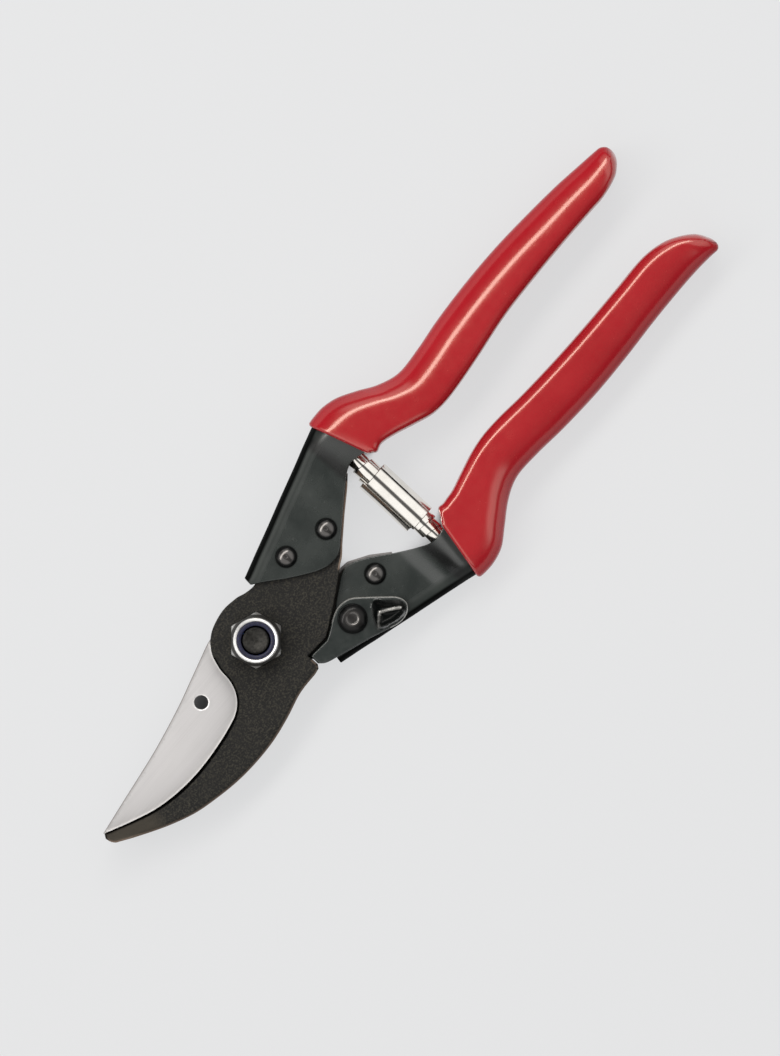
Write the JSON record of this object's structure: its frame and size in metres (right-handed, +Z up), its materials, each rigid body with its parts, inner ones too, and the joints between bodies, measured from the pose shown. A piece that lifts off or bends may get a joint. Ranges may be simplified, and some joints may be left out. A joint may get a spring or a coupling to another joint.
{
  "type": "pruning shears",
  "caption": "Bypass pruning shears with a curved hook and blade, channel handles with dipped grips, a volute spring and a thumb catch.",
  "frame": {"origin": "on the pivot bolt's axis, at the bolt head's flat face, on the plane that the shears rest on", "axes": "+X towards the blade's tip, +Y towards the blade-side handle, +Z up through the pivot nut"},
  "size_m": [0.224, 0.0611, 0.021],
  "materials": {
    "forged_steel": "rough forged and blackened, satin sheen",
    "blade_steel": "fine satin grinding along the blade",
    "black_coat": "satin black coating on pressed steel",
    "pvc_dip": "soft semi-gloss PVC dip",
    "rivet_steel": "blackened steel, polished by wear",
    "bolt_steel": "blackened steel",
    "zinc_plate": "bright zinc plate",
    "nylon": "blue nylon",
    "nickel_plate": "bright nickel plate"
  },
  "bodies": {
    "hook_side": {"hook_blade": "forged_steel", "shell_hook_side": "black_coat", "grip_hook_side": "pvc_dip", "hook_rivet_front": "rivet_steel", "hook_rivet_rear": "rivet_steel", "pivot_bolt": "bolt_steel", "bolt_washer": "zinc_plate", "pivot_nut": "zinc_plate", "nut_insert": "nylon", "spring_peg_hook_side": "zinc_plate", "volute_spring": "nickel_plate"},
    "blade_side": {"cutting_blade": "blade_steel", "shell_blade_side": "black_coat", "grip_blade_side": "pvc_dip", "blade_rivet": "rivet_steel", "catch_rivet": "rivet_steel", "catch_washer": "zinc_plate", "spring_peg_blade_side": "zinc_plate"},
    "catch": {"thumb_catch": "black_coat"}
  },
  "joints": [
    {"name": "main_pivot", "type": "hinge", "parent": "hook_side", "child": "blade_side", "pos_m": [0, 0, 0.008], "axis": [0, 0, -1], "range_deg": [0, 25], "deforming": ["volute_spring"]},
    {"name": "catch_pivot", "type": "hinge", "parent": "blade_side", "child": "catch", "pos_m": [-0.02085, 0.0154, 0.0109], "axis": [0, 0, 1], "range_deg": [0, 20]}
  ]
}
